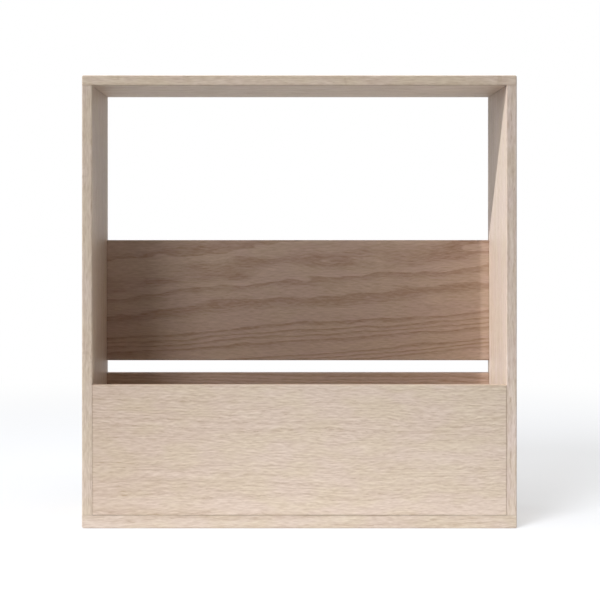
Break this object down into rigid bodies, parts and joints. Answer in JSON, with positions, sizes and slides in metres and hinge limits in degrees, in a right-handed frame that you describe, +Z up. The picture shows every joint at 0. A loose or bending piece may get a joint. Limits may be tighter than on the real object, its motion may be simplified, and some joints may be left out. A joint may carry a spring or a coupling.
{
  "type": "magazine file box",
  "caption": "Open oak magazine file box: a standing frame of thin boards with a low front panel and a slotted back.",
  "frame": {"origin": "middle of the base's underside, on the surface that the box stands on", "axes": "+Z up, +X to the right of someone who faces the front panel, +Y from the front panel to the back"},
  "size_m": [0.384, 0.12, 0.4],
  "materials": {
    "oak": "pale oak, sanded and matt oiled",
    "beech_dowel": "raw beech, fluted"
  },
  "bodies": {
    "root": {"base_board": "oak", "top_board": "oak", "left_side": "oak", "right_side": "oak", "front_panel": "oak", "rear_lower_panel": "oak", "rear_upper_panel": "oak", "top_left_dowels": "beech_dowel", "top_right_dowels": "beech_dowel", "base_left_dowels": "beech_dowel", "base_right_dowels": "beech_dowel", "front_panel_left_dowels": "beech_dowel", "front_panel_right_dowels": "beech_dowel", "rear_lower_panel_left_dowels": "beech_dowel", "rear_lower_panel_right_dowels": "beech_dowel", "rear_upper_panel_left_dowels": "beech_dowel", "rear_upper_panel_right_dowels": "beech_dowel", "front_panel_foot_dowels": "beech_dowel", "rear_lower_panel_foot_dowels": "beech_dowel"}
  },
  "joints": []
}
